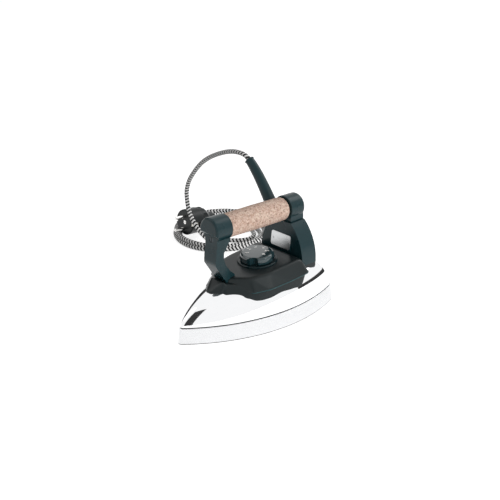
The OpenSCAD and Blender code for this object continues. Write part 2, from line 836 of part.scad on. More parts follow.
block_x = 9.5;
block_z = 68;
block_top = 82;
inside_y = bell_y + body_wall;

module terminal_block() {
    color("ivory") difference() {
        translate([block_x, inside_y + 0.2, block_z]) cube([22, 12, block_top - block_z]);
        at_terminals(block_z - 1) cylinder(d = 2.4, h = block_top - block_z + 2);
    }
}

module at_terminals(z)
    for (x = [4, 11, 18]) translate([block_x + x, inside_y + 6.2, z]) children();

module terminal_screws() {
    color("goldenrod") at_terminals(block_top - 5) difference() {
        union() {
            cylinder(d = 2.2, h = 6);
            translate([0, 0, 5]) cylinder(d = 4.6, h = 2);
        }
        translate([-3, -0.4, 6.2]) cube([6, 0.8, 2]);
    }
}

wire_d = 2.2;
clamp_x = -12;
clamp_y = inside_y + 9;
clamp_top = 92;
clamp_h = 8;

module wire(route) {
    path = spline(route, 3);
    swept(path, [for (p = path) wire_d / 2], 8);
}

module live_wires() {
    z = clamp_top - clamp_h - clear;
    color("sienna") {
        wire([[clamp_x + 3, clamp_y, z], [clamp_x + 4, clamp_y, z - 6], [-4, bell_y + 5, z - 8],
              [2, bell_y + 5, z - 8], [block_x - 0.8, bell_y + 7, block_z + 7]]);
        wire([[block_x + 11, inside_y + 9, block_z - 1], [16, rear_stud_y, 62],
              [20, rear_stud_y - 6, 52], [element_gap / 2 - 1, element_back, ballast_z + 14]]);
    }
}

module earth_wire() {
    z = clamp_top - clamp_h - clear;
    color("yellowgreen")
        wire([[clamp_x - 2, clamp_y, z], [clamp_x - 2, clamp_y - 1, z - 8],
              [clamp_x + 2, bell_y + 9, dome_z + 6],
              [-5, bell_y + 7.5, dome_z + bracket_t + wire_d / 2 + clear]]);
}

// End of the lead's sheath, from the gland down into the clamp.
module cord_inner() {
    color("black") swept([gland_at - [0, 0, clear], [clamp_x - 0.5, clamp_y, clamp_top + clear]],
                         [cord_d / 2, cord_d / 2]);
}

module cord_clamp() {
    color("dimgray") difference() {
        translate([clamp_x - 8, inside_y + 0.2, clamp_top - clamp_h]) cube([16, 15, clamp_h]);
        for (x = [-5.5, 5.5]) translate([clamp_x + x, inside_y, clamp_top - clamp_h / 2])
            rotate([-90, 0, 0]) cylinder(d = 3, h = 17);
    }
}

// ---- lead ----

gland_d = 18;
gland_l = 14;
gland_end = gland_at + gland_l * [-sin(gland_lean), 0, cos(gland_lean)];
sleeve_route = [gland_end, [-27.5, 75, 118.5], [-33, 75.5, 127.5], [-39.5, 75.5, 137],
                [-48.5, 75.5, 149.5], [-58, 75.5, 161.5], [-67, 75.5, 171.5], [-74, 75.5, 178],
                [-77, 75.5, 180.5]];
arc_route = [[-77, 75.5, 180.5], [-83, 75.5, 184], [-92, 76, 185.5], [-108, 77, 184],
             [-126, 78, 179], [-145, 79, 171], [-164, 80, 161], [-184, 82, 147],
             [-203, 84, 128], [-217, 86, 110], [-225, 88, 92], [-228, 91, 75],
             [-228, 94, 58], [-223, 98, 41], [-213, 104, 24], [-199, 112, 11],
             [-187, 122, 5], [-179, 131, 3.4]];
coil_at = [-230, 165, 0];
coil_inner = 59;
coil_outer = 80;
tail_route = [[-161, 140, 10], [-159, 151, 10], [-159, 162, 10], [-162, 173, 9.8],
              [-168, 184, 9], [-176, 194, 7], [-186, 202, 4.5], [-198, 209, 3.4],
              [-212, 213, 3.4], [-226, 213, 3.4], [-240, 209, 3.4], [-252, 201, 3.4],
              [-260, 189, 3.4], [-264, 175, 3.4], [-262, 160, 3.4], [-253, 150, 3.4],
              [-240, 145, 3.4], [-226, 143, 3.4], [-212, 143, 3.4], [-199, 148, 3.4],
              [-189, 157, 3.4], [-182, 169, 3.4], [-182, 181, 3.4], [-188, 191, 4],
              [-198, 197, 5], [-210, 200, 8], [-222, 202, 11], [-234, 201, 14],
              [-244, 196, 17], [-250, 188, 20], [-253, 178, 22], [-253, 169, 23.5],
              [-253, 159.5, 24.3]];
plug_at = [-253, 105.5, 29];         // middle of the plug's face
plug_back = 54;                      // where the lead enters, behind the face
plug_tilt = 5;                       // the face rests on the coil
pin_pitch = 19;

module cord_gland() {
    color("black") at_gland() cylinder(d = gland_d, h = gland_l);
}

module cord_sleeve() {
    path = spline(sleeve_route, 3);
    last = len(path) - 1;
    color("darkslategray") swept(path, [for (i = [0 : last])
        i > last - 2 ? sleeve_tip_d / 2 + 1
                     : (sleeve_base_d + (sleeve_tip_d - sleeve_base_d) * i / last) / 2], 12);
}

module cord_arc() {
    color("gray") swept(arc_route, [for (p = arc_route) cord_d / 2]);
}

module cord_coil() {
    color("gray") translate(coil_at) rotate_extrude($fn = 96) polygon([
        [coil_inner, 0], [coil_outer, 0], [coil_outer, cord_d + 0.2], [coil_outer - 2.5, 13],
        [coil_outer - 9.5, 13], [coil_outer - 9.5, cord_d + 0.2], [coil_inner, cord_d + 0.2]]);
}

module cord_tail() {
    color("gray") swept(tail_route, [for (p = tail_route) cord_d / 2]);
}

// Origin in the middle of the plug's face, with Z along the plug towards the lead.
module at_plug() translate(plug_at) rotate([-90 - plug_tilt, 0, 0]) children();

module at_clips() for (side = [0, 180]) rotate([0, 0, side]) translate([plug_d / 2, 0, 0]) children();

module plug_body() {
    r = plug_d / 2;
    color("black") at_plug() difference() {
        rotate_extrude() polygon(concat(
            [[0, 0], [r - 2, 0]], arc([r - 2, 2], 2, -80, 0, 4), [[r, plug_l], [0, plug_l]]));
        at_clips() translate([-4, -3.5, -1]) cube([10, 7, 16]);
        for (y = [-1, 1] * pin_pitch / 2) translate([0, y, -1]) cylinder(d = 4.8 + 2 * snug, h = 13);
        translate([0, 0, -1]) cylinder(d = 6 + 2 * snug, h = 3);
        translate([0, 0, -1]) cylinder(d = 3 + 2 * snug, h = plug_l + 2);
    }
}

module plug_cap() {
    r = plug_d / 2;
    color("black") at_plug() difference() {
        rotate_extrude() polygon(concat(
            [[0, plug_l + clear], [r - 1, plug_l + clear], [r - 1, plug_l + 9]],
            arc([r - 7, plug_l + 9], 6, 5, 60, 4),
            [[8.5, plug_back - 8], [7.5, plug_back], [0, plug_back]]));
        for (a = [30 : 60 : 330]) rotate([0, 0, a])
            translate([r + 4.5, 0, plug_l + 4]) cylinder(r = 8, h = 40);
        translate([0, 0, plug_l - 1]) cylinder(d = 3 + 2 * snug, h = 10);
    }
}

module plug_pins() {
    color("silver") at_plug() for (y = [-1, 1] * pin_pitch / 2) translate([0, y, -19]) {
        rotate_extrude() polygon([[0, 0], [1.6, 0], [2.4, 1], [2.4, 30], [0, 30]]);
    }
}

module plug_earth_clips() {
    color("silver") at_plug() at_clips() translate([-4 + clear, -2.5, 0.5]) cube([0.8, 5, 14]);
}

module plug_screw() {
    color("silver") at_plug() difference() {
        union() {
            translate([0, 0, 0.4]) cylinder(d = 6, h = 1.5);
            translate([0, 0, 1]) cylinder(d = 3, h = plug_l + 6);
        }
        translate([-3, -0.4, 0]) cube([6, 0.8, 1]);
    }
}

soleplate();
heating_element();
element_insulators();
element_pins();
ballast_plate();
studs();
stud_nuts();
seam_gasket();
chrome_cover();
insulation_plate();
skirt();
deck_housing();
front_post();
front_bracket();
post_screw();
rear_post();
rear_bracket();
terminal_cover();
terminal_cover_screws();
front_cap();
rear_cap();
cork_grip();
grip_tube();
tie_rod();
rod_nut();
rating_plate();
plate_rivets();
dial_ring();
dial_knob();
knob_clip();
thermostat_spindle();
thermostat_bush();
thermostat_bracket();
thermostat_body();
bimetal_blade();
thermal_fuse();
terminal_block();
terminal_screws();
live_wires();
earth_wire();
cord_clamp();
cord_inner();
cord_gland();
cord_sleeve();
cord_arc();
cord_coil();
cord_tail();
plug_body();
plug_cap();
plug_pins();
plug_earth_clips();
plug_screw();
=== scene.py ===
import json
import math

import bmesh
import bpy
from mathutils import Matrix, Vector

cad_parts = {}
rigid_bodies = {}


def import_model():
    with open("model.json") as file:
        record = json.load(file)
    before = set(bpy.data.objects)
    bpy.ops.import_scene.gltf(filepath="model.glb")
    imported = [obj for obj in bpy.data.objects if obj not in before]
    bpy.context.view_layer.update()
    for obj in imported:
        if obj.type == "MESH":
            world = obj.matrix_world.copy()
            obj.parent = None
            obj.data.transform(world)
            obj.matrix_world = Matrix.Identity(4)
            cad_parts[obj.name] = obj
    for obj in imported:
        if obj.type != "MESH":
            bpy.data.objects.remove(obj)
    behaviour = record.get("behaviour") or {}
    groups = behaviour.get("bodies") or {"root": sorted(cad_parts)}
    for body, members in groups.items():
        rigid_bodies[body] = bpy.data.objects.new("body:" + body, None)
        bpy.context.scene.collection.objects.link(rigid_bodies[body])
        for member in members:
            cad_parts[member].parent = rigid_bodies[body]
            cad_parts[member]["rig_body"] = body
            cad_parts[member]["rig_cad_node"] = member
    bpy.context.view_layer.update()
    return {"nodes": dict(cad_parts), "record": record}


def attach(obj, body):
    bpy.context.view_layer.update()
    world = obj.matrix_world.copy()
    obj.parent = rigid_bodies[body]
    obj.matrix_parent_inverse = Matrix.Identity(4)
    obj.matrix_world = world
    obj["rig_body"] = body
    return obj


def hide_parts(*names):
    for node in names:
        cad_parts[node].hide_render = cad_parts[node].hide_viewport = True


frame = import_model()
nodes = frame["nodes"]
mm = 0.001
print("frame loaded:", len(nodes), "nodes")


# camera, light and floor

shot = {"aim": (-0.0223, 0.02525, 0.0794), "distance": 1.4, "azimuth": 46.5, "elevation": 23.55,
        "lens": 76.03, "sensor": 36}


def placeCamera():
    turn, rise = math.radians(shot["azimuth"]), math.radians(shot["elevation"])
    away = Vector((math.cos(rise) * math.sin(turn), -math.cos(rise) * math.cos(turn), math.sin(rise)))
    camera = bpy.data.objects.new("camera", bpy.data.cameras.new("camera"))
    camera.location = Vector(shot["aim"]) + shot["distance"] * away
    camera.rotation_euler = (math.pi / 2 - rise, 0, turn)
    camera.data.lens = shot["lens"]
    camera.data.sensor_width = shot["sensor"]
    camera.data.clip_start = 0.01
    bpy.context.scene.collection.objects.link(camera)
    bpy.context.scene.camera = camera


class Signal:                                    # a socket that can stand in a sum
    def __init__(self, finish, socket):
        self.finish = finish
        self.socket = socket

    def maths(self, operation, other, flipped=False):
        pair = (other, self) if flipped else (self, other)
        return self.finish.add("Math", {"operation": operation}, {0: pair[0], 1: pair[1]})

    def __add__(self, other):
        return self.maths("ADD", other)

    def __radd__(self, other):
        return self.maths("ADD", other)

    def __sub__(self, other):
        return self.maths("SUBTRACT", other)

    def __rsub__(self, other):
        return self.maths("SUBTRACT", other, True)

    def __mul__(self, other):
        return self.maths("MULTIPLY", other)

    def __rmul__(self, other):
        return self.maths("MULTIPLY", other)

    def __truediv__(self, other):
        return self.maths("DIVIDE", other)

    def __gt__(self, other):
        return self.maths("GREATER_THAN", other)

    def __lt__(self, other):
        return self.maths("LESS_THAN", other)

    def __abs__(self):
        return self.maths("ABSOLUTE", 0)

    def wrap(self):                              # what is left after the whole number
        return self.maths("FRACT", 0)


class Finish:                                    # a material or a world and its nodes
    def __init__(self, owner, values=()):
        self.owner = owner
        owner.use_nodes = True
        self.tree = owner.node_tree
        self.shader = self.tree.nodes.get("Principled BSDF") or self.tree.nodes.get("Background")
        self.feed(self.shader, dict(values))

    def feed(self, node, values):
        for key, value in values.items():
            socket = node.inputs[key]
            if isinstance(value, Signal):
                self.tree.links.new(value.socket, socket)
            elif socket.type == "RGBA":
                socket.default_value = (*value[:3], 1)
            else:
                socket.default_value = value

    def add(self, kind, settings, values, out=0):
        node = self.tree.nodes.new("ShaderNode" + kind)
        for key, value in settings.items():
            if key == "stops":
                self.setStops(node.color_ramp, value)
            else:
                setattr(node, key, value)
        self.feed(node, values)
        return Signal(self, node.outputs[out])

    def setStops(self, ramp, stops):
        while len(ramp.elements) < len(stops):
            ramp.elements.new(1)
        for element, (position, colour) in zip(ramp.elements, stops):
            element.position = position
            element.color = (*colour, 1)

    def place(self, stretch=(1, 1, 1)):          # position on the object in metres
        where = self.add("TexCoord", {}, {}, "Object")
        if stretch == (1, 1, 1):
            return where
        return self.add("VectorMath", {"operation": "MULTIPLY"}, {0: where, 1: stretch})

    def noise(self, size, detail=3, stretch=(1, 1, 1), rough=0.5):
        return self.add("TexNoise", {}, {"Vector": self.place(stretch), "Scale": 1 / size,
                                         "Detail": detail, "Roughness": rough})

    def grains(self, size, out="Distance", feature="F1"):
        return self.add("TexVoronoi", {"feature": feature},
                        {"Vector": self.place(), "Scale": 1 / size}, out)

    def tint(self, share, first, second):        # mixes two colours
        return self.add("Mix", {"data_type": "RGBA"}, {0: share, 6: first, 7: second}, 2)

    def ramp(self, share, stops):
        return self.add("ValToRGB", {"stops": stops}, {"Fac": share})

    def relief(self, height, depth, strength):
        return self.add("Bump", {}, {"Height": height, "Distance": depth, "Strength": strength})

    def set(self, values):
        self.feed(self.shader, values)


studio = {"white": 1.0, "fill": 0.3, "cardShade": 0.96, "lampAim": (0, 0, 0.08),
          "floorColour": (0.86, 0.86, 0.86), "floorCloud": (0.88, 0.88, 0.88), "floorLift": 0.70,
          "floorSize": 12, "floorDrop": 0.0002,
          "darkCards": [{"turn": 49.5, "half": 0.068, "low": -0.2, "high": 0.8},
                        {"turn": 160, "half": 0.42, "low": -0.05, "high": 0.1},
                        {"turn": -92, "half": 0.3, "low": 0.08, "high": 0.56}],
          "lamps": {"key": ((-0.9, -1.1, 1.7), 1.3, 4),
                    "side": ((1.9, 0.2, 0.7), 1.5, 30),
                    "back": ((0.2, 1.8, 1.5), 1.2, 7),
                    "rim": ((1.3, 0.6, 1.3), 0.5, 1.8)}}


def buildStudio():
    scene = bpy.context.scene
    scene.view_settings.view_transform = "Standard"
    scene.world = bpy.data.worlds.new("studio")
    world = Finish(scene.world)
    camera = world.add("LightPath", {}, {}, "Is Camera Ray")
    glass = world.add("LightPath", {}, {}, "Is Transmission Ray")
    glossy = world.add("LightPath", {}, {}, "Is Glossy Ray")
    seen = (camera + glass + glossy).maths("MINIMUM", 1)
    aim = world.add("TexCoord", {}, {}, "Generated")
    dark = None
    for card in studio["darkCards"]:             # dark cards that only show in reflections
        turn = math.radians(card["turn"])
        ahead = world.add("VectorMath", {"operation": "DOT_PRODUCT"},
                          {0: aim, 1: (math.sin(turn), -math.cos(turn), 0)}, 1)
        across = world.add("VectorMath", {"operation": "DOT_PRODUCT"},
                           {0: aim, 1: (math.cos(turn), math.sin(turn), 0)}, 1)
        rise = world.add("SeparateXYZ", {}, {"Vector": aim}, "Z")
        shape = ((ahead > 0) * (across > -card["half"]) * (across < card["half"])
                 * (rise > card["low"]) * (rise < card["high"]))
        dark = shape if dark is None else dark.maths("MAXIMUM", shape)
    level = seen * studio["white"] + (1 - seen) * studio["fill"] - glossy * dark * studio["cardShade"]
    world.set({"Color": (1, 1, 1), "Strength": level})
    mesh = bpy.data.meshes.new("floor")
    half = studio["floorSize"] / 2
    corners = [(-half, -half, 0), (half, -half, 0), (half, half, 0), (-half, half, 0)]
    mesh.from_pydata(corners, [], [(0, 1, 2, 3)])
    floor = bpy.data.objects.new("floor", mesh)
    floor.location = (0, 0, -studio["floorDrop"])
    scene.collection.objects.link(floor)
    card = Finish(bpy.data.materials.new("floor card"), {"Roughness": 0.9})
    eye = card.add("LightPath", {}, {}, "Is Camera Ray")
    mirror = card.add("LightPath", {}, {}, "Is Glossy Ray")
    speck = card.noise(0.6, 2)
    card.set({"Base Color": card.tint(speck, studio["floorColour"], studio["floorCloud"]),
              "Emission Color": card.tint((eye + mirror).maths("MINIMUM", 1), (0, 0, 0), (1, 1, 1)),
              "Emission Strength": studio["floorLift"], "Specular IOR Level": 0})
    mesh.materials.append(card.owner)
    for name, (place, size, power) in studio["lamps"].items():
        lamp = bpy.data.objects.new(name + " lamp", bpy.data.lights.new(name + " lamp", "AREA"))
        lamp.data.shape = "DISK"
        lamp.data.size = size
        lamp.data.energy = power
        lamp.location = place
        lamp.visible_glossy = name != "side"     # no bright patch on the flat sides
        lamp.visible_diffuse = name != "rim"     # this one only draws the edges
        ahead = Vector(studio["lampAim"]) - Vector(place)
        lamp.rotation_euler = ahead.to_track_quat("-Z", "Y").to_euler()
        scene.collection.objects.link(lamp)


placeCamera()
buildStudio()
print("camera, lamps and floor placed")


# mesh helpers

def shade(mesh, smooth=True):
    mesh.polygons.foreach_set("use_smooth", [smooth] * len(mesh.polygons))


def joinCorners(piece):                          # the solids' faces come in with loose corners
    weld = piece.modifiers.new("weld", "WELD")
    weld.merge_threshold = 0.00001


def makePiece(name, points, faces, slotName, body="iron", covers=()):
    mesh = bpy.data.meshes.new(name)
    mesh.from_pydata(points, [], faces)
    mesh.update()
    shade(mesh)
    piece = bpy.data.objects.new(name, mesh)
    bpy.context.scene.collection.objects.link(piece)
    finishPiece(piece, slotName, body, covers)
    return piece


def finishPiece(piece, slotName, body, covers):
    piece.data.materials.clear()
    piece.data.materials.append(finishes[slotName])
    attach(piece, body)
    if covers:
        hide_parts(*covers)


def stackRings(rings):                           # a skin over the rings, closed at both ends
    count = len(rings[0])
    points = [point for ring in rings for point in ring]
    faces = [(row * count + k, row * count + (k + 1) % count,
              (row + 1) * count + (k + 1) % count, (row + 1) * count + k)
             for row in range(len(rings) - 1) for k in range(count)]
    faces.append(tuple(reversed(range(count))))
    faces.append(tuple(range(len(points) - count, len(points))))
    return points, faces


def splineThrough(route, steps):                 # smooth curve through every point
    points = []
    last = len(route) - 1
    for i in range(last):
        a, b, c, d = (Vector(route[j]) for j in (max(i - 1, 0), i, i + 1, min(i + 2, last)))
        for k in range(steps):
            t = k / steps
            points.append(0.5 * (2 * b + (c - a) * t + (2 * a - 5 * b + 4 * c - d) * t * t
                                 + (3 * b - a - 3 * c + d) * t ** 3))
    return points + [Vector(route[-1])]


def sweepRound(line, radii, sides):              # rings along a line, and the way walked
    rings, walked = [], [0.0]
    across = Vector((0, 0, 1))
    for i, point in enumerate(line):
        ahead = (line[min(i + 1, len(line) - 1)] - line[max(i - 1, 0)]).normalized()
        if abs(across.dot(ahead)) > 0.98:
            across = Vector((0, 1, 0))
        across = (across - across.dot(ahead) * ahead).normalized()
        other = ahead.cross(across)
        rings.append([point + radii[i] * (math.cos(a) * across + math.sin(a) * other)
                      for a in (2 * math.pi * k / sides for k in range(sides))])
        if i:
            walked.append(walked[-1] + (point - line[i - 1]).length)
    return rings, walked


def rollMap(piece, walked, sides):               # u goes once round, v is metres along
    layer = piece.data.uv_layers.new(name="wrap")
    for face in piece.data.polygons:
        for corner in face.loop_indices:
            vertex = piece.data.loops[corner].vertex_index
            row, k = divmod(vertex, sides)
            if k == 0 and face.index % sides == sides - 1 and len(face.vertices) == 4:
                k = sides
            layer.data[corner].uv = (k / sides, walked[row])


# finishes

finishes = {}


def startFinish(slotName, values):
    finish = Finish(bpy.data.materials.new(slotName + " finish"), values)
    finishes[slotName] = finish.owner
    return finish


def metalFinish(slotName, colour, roughness, grain=0.02, depth=0.00002):
    metal = startFinish(slotName, {"Metallic": 1.0, "Roughness": roughness})
    cloud = metal.noise(grain, 4)
    fine = metal.noise(0.0006, 3)
    metal.set({"Base Color": metal.tint(cloud, colour, [0.86 * part for part in colour]),
               "Roughness": roughness + (cloud - 0.5) * 0.16,
               "Normal": metal.relief(fine, depth, 0.4)})


def plasticFinish(slotName, colour, roughness, mottle=0.15, depth=0.00003, grain=0.0005, coat=0.0,
                  shine=0.28):
    plastic = startFinish(slotName, {"Coat Roughness": 0.08, "Coat Weight": coat,
                                     "Specular IOR Level": shine})
    cloud = plastic.noise(0.03, 4)
    fine = plastic.noise(grain, 2)
    plastic.set({"Base Color": plastic.tint(cloud, colour, [(1 + mottle) * part for part in colour]),
                 "Roughness": roughness + (cloud - 0.5) * 0.1,
                 "Normal": plastic.relief(fine, depth, 0.3)})


metals = {"cast_alloy": ((0.36, 0.37, 0.38), 0.55), "element_sheath": ((0.30, 0.29, 0.28), 0.5),
          "steel": ((0.45, 0.46, 0.47), 0.34), "blackened": ((0.06, 0.07, 0.075), 0.3),
          "brass": ((0.78, 0.58, 0.26), 0.3), "pins": ((0.86, 0.85, 0.83), 0.16),
          "clips": ((0.84, 0.82, 0.76), 0.2)}
plastics = {"insulator": ((0.82, 0.79, 0.70), 0.55), "gasket": ((0.012, 0.012, 0.013), 0.7),
            "mica": ((0.45, 0.33, 0.18), 0.5), "fuse": ((0.7, 0.7, 0.68), 0.25),
            "live": ((0.16, 0.05, 0.02), 0.45), "earth": ((0.24, 0.38, 0.03), 0.45),
            "gland": ((0.012, 0.016, 0.018), 0.45), "sleeve": ((0.005, 0.022, 0.026), 0.34),
            # the second colour on the next line is the phenolic again, darker and less teal: painted
            # shade for the deck and skirt shells
            "phenolic": ((0.005, 0.024, 0.029), 0.28), "phenolicPaintedDark": ((0.008, 0.013, 0.014), 0.3),
            # the bead's colour, lighter than the phenolic, is a painted highlight on that real raised
            # line
            "bead": ((0.018, 0.06, 0.066), 0.2), "ring": ((0.004, 0.014, 0.017), 0.14),
            "plug": ((0.006, 0.009, 0.010), 0.3)}
for slotName, (colour, roughness) in metals.items():
    metalFinish(slotName, colour, roughness)
for slotName, (colour, roughness) in plastics.items():
    plasticFinish(slotName, colour, roughness)
plasticFinish("knob", (0.007, 0.028, 0.034), 0.1, coat=1.0, depth=0.00001, shine=0.35)


chromeLook = {"wiped": (0.90, 0.91, 0.92), "bright": (0.95, 0.95, 0.96), "roughness": 0.025}


def finishChrome():
    chrome = startFinish("chrome", {"Metallic": 1.0})
    wipe = chrome.noise(0.02, 5, (1, 1, 3))
    speck = chrome.noise(0.0015, 2)
    chrome.set({"Base Color": chrome.tint(wipe, chromeLook["wiped"], chromeLook["bright"]),
                "Roughness": chromeLook["roughness"] + (wipe - 0.4) * 0.07,
                "Normal": chrome.relief(speck, 0.000004, 0.2)})


# the third colour and the height after it darken the lowest strip of the sole's side: painted shade of
# the contact shadow
soleLook = {"dark": (0.66, 0.67, 0.68), "light": (0.79, 0.79, 0.80), "paintedShade": (0.22, 0.22, 0.22),
            "paintedShadeTop": 0.0013, "roughness": 0.24}


def finishSole():
    sole = startFinish("sole_alloy", {"Metallic": 1.0})
    lines = sole.noise(0.012, 4, (1, 1, 60))
    cloud = sole.noise(0.03, 3)
    height = sole.add("SeparateXYZ", {}, {"Vector": sole.add("NewGeometry", {}, {}, "Position")}, "Z")
    paintedShadeMask = (height < soleLook["paintedShadeTop"]) * 1.0     # the foot of the side is painted dark: painted shade for the contact shadow the chamfer reflects
    side = sole.tint(lines, soleLook["dark"], soleLook["light"])
    sole.set({"Base Color": sole.tint(paintedShadeMask, side, soleLook["paintedShade"]), "Metallic": 1 - paintedShadeMask * 0.7,
              "Roughness": soleLook["roughness"] + (lines - 0.5) * 0.2 + (cloud - 0.5) * 0.08,
              "Normal": sole.relief(lines, 0.00004, 0.35)})


cork = {"pale": (0.62, 0.45, 0.37), "warm": (0.52, 0.34, 0.26), "dark": (0.17, 0.08, 0.05),
        "cream": (0.74, 0.60, 0.49), "granule": 0.0019}


def finishCork():
    skin = startFinish("cork", {"Roughness": 0.8})
    shade = skin.grains(cork["granule"], "Color")
    tone = skin.add("SeparateColor", {}, {"Color": shade}, "Red")
    pick = skin.add("SeparateColor", {}, {"Color": shade}, "Green")
    edge = skin.grains(cork["granule"], "Distance", "DISTANCE_TO_EDGE")
    fleck = skin.noise(0.0011, 4, rough=0.65)
    dark = ((fleck > 0.63) + (pick > 0.9)).maths("MINIMUM", 1)
    base = skin.ramp(tone, [(0, cork["warm"]), (0.5, cork["pale"]), (1, cork["cream"])])
    joint = 1 - (edge * 9).maths("MINIMUM", 1)
    stained = skin.tint(joint * 0.3, base, cork["dark"])
    height = (edge * 4).maths("MINIMUM", 1) - dark * 0.6 + fleck * 0.4
    skin.set({"Base Color": skin.tint(dark * 0.5, stained, cork["dark"]),
              "Normal": skin.relief(height, 0.0003, 0.5)})


plateLook = {"dark": (0.50, 0.51, 0.51), "light": (0.70, 0.71, 0.72), "roughness": 0.3}


def finishPlate():
    plate = startFinish("plate", {"Metallic": 1.0})
    lines = plate.noise(0.0007, 3, (0.05, 1, 1))
    plate.set({"Base Color": plate.tint(lines, plateLook["dark"], plateLook["light"]),
               "Roughness": plateLook["roughness"] + (lines - 0.5) * 0.2,
               "Normal": plate.relief(lines, 0.00003, 0.3)})


lead = {"diameter": 6.6 * mm, "sides": 20, "steps": 10, "quickSteps": 6,
        "pitch": 5.2 * mm, "strands": 4, "lean": 0.22,
        "white": (0.88, 0.88, 0.87), "black": (0.006, 0.006, 0.007), "shade": (0.03, 0.03, 0.03)}


def finishBraid():
    braid = startFinish("braid", {"Roughness": 0.85})
    wrap = braid.add("UVMap", {"uv_map": "wrap"}, {})
    around = braid.add("SeparateXYZ", {}, {"Vector": wrap}, "X") * lead["strands"]
    along = braid.add("SeparateXYZ", {}, {"Vector": wrap}, "Y") / lead["pitch"]
    zigzag = abs((around * 0.5).wrap() - 0.5) * (4 * lead["lean"])
    stripe = (along + zigzag).wrap()
    black = stripe > 0.5
    across = abs(around.wrap() - 0.5) * 2
    crown = 1 - abs(((along + zigzag) * 2).wrap() - 0.5) * 2
    valley = 1 - (crown * 2.2 * (1.25 - across)).maths("MINIMUM", 1)
    yarn = braid.tint(black, lead["white"], lead["black"])
    braid.set({"Base Color": braid.tint(valley * 0.25, yarn, lead["shade"]),
               "Normal": braid.relief(crown * 0.8 - across * 0.5, 0.0002, 0.15)})


finishChrome()
finishSole()
finishCork()
finishPlate()
finishBraid()
print("finishes made:", len(finishes))


# pieces that keep their solids' shape

def softenNode(name, width, angle=38):           # the same piece with its edges broken
    source = nodes[name]
    piece = source.copy()
    piece.data = source.data.copy()
    piece.name = name + "_soft"
    piece.parent = None
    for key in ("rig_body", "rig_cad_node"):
        if key in piece:
            del piece[key]
    bpy.context.scene.collection.objects.link(piece)
    joinCorners(piece)
    flat = piece.modifiers.new("flat", "DECIMATE")
    flat.decimate_type = "DISSOLVE"
    flat.angle_limit = math.radians(0.5)
    soft = piece.modifiers.new("soft", "BEVEL")
    soft.width = width * mm
    soft.segments = 3
    soft.limit_method = "ANGLE"
    soft.angle_limit = math.radians(angle)
    weighted = piece.modifiers.new("weighted", "WEIGHTED_NORMAL")
    weighted.keep_sharp = False
    shade(piece.data)
    return piece


slotOf = {entry["node"]: entry["material_slot"] for entry in frame["record"]["subparts"]}
bodyOf = {name: body for body, names in frame["record"]["behaviour"]["bodies"].items()
          for name in names}
softWidths = {"front_post": 0.7, "rear_post": 0.8, "front_cap": 0.5, "rear_cap": 0.5,
              "terminal_cover": 0.4, "dial_knob": 0.5, "plug_cap": 0.5, "plug_body": 0.4,
              "rating_plate": 0.15}


def smoothNode(node, angle=32):                  # round sides shade round, edges stay crisp
    shade(node.data)
    joinCorners(node)
    split = node.modifiers.new("split", "EDGE_SPLIT")
    split.split_angle = math.radians(angle)
    node.modifiers.new("weighted", "WEIGHTED_NORMAL")


softPieces = {}
for name, width in softWidths.items():
    softPieces[name] = softenNode(name, width)
    finishPiece(softPieces[name], slotOf[name], bodyOf[name], (name,))
print("edges broken:", len(softPieces))


# lead: from the sleeve over the arc, round the coil and back to the plug

arcRoute = [(-77, 75.5, 180.5), (-83, 75.5, 184), (-92, 76, 185.5), (-108, 77, 184), (-126, 78, 179),
            (-145, 79, 171), (-164, 80, 161), (-184, 82, 147), (-203, 84, 128), (-217, 86, 110),
            (-225, 88, 92), (-228, 91, 75), (-228, 94, 58), (-223, 98, 41), (-213, 104, 24),
            (-199, 112, 11), (-187, 122, 5), (-179, 131, 3.6)]
coil = {"middle": (-230, 165), "start": -33.7, "turns": 3.04, "perTurn": 16, "low": 3.4,
        "inner": 62.5, "outer": 76.2, "outerAt": 1.9,
        "top": 73.6, "climbAt": 1.85, "climbTurns": 0.3, "climb": 6.5}
tailRoute = [(-159, 151, 10), (-159, 162, 10), (-162, 173, 9.8),
             (-168, 184, 9), (-176, 194, 7), (-186, 202, 4.5), (-198, 209, 3.4),
             (-212, 213, 3.4), (-226, 213, 3.4), (-240, 209, 3.4), (-252, 201, 3.4),
             (-260, 189, 3.4), (-264, 175, 3.4), (-262, 160, 3.4), (-253, 150, 3.4),
             (-240, 145, 3.4), (-226, 143, 3.4), (-212, 143, 3.4), (-199, 148, 3.4),
             (-189, 157, 3.4), (-182, 169, 3.4), (-182, 181, 3.4), (-188, 191, 4),
             (-198, 197, 5), (-210, 200, 8), (-222, 202, 11), (-234, 201, 14),
             (-244, 196, 17), (-250, 188, 20), (-253, 178, 22), (-253, 169, 23.5),
             (-253, 159.5, 24.3)]


def coilRoute():                                 # two flat turns outwards, then one on top
    points = []
    steps = round(coil["perTurn"] * coil["turns"])
    for k in range(1, steps):
        share = k / steps * coil["turns"]
        climb = min(max((share - coil["climbAt"]) / coil["climbTurns"], 0), 1)
        climb = climb * climb * (3 - 2 * climb)
        flat = coil["inner"] + (coil["outer"] - coil["inner"]) * min(share / coil["outerAt"], 1)
        radius = flat + (coil["top"] - flat) * climb
        turn = math.radians(coil["start"]) + 2 * math.pi * share
        points.append((coil["middle"][0] + radius * math.cos(turn),
                       coil["middle"][1] + radius * math.sin(turn),
                       coil["low"] + coil["climb"] * climb))
    return points


def layLead():
    route = [Vector(point) * mm for point in arcRoute + coilRoute() + tailRoute]
    line = splineThrough(route, lead["steps"])
    rings, walked = sweepRound(line, [lead["diameter"] / 2] * len(line), lead["sides"])
    points, faces = stackRings(rings)
    piece = makePiece("mains_lead", points, faces, "braid", "iron",
                      ("cord_arc", "cord_coil", "cord_tail"))
    rollMap(piece, walked, lead["sides"])
    print("lead:", round(walked[-1], 3), "m,", len(route), "points")


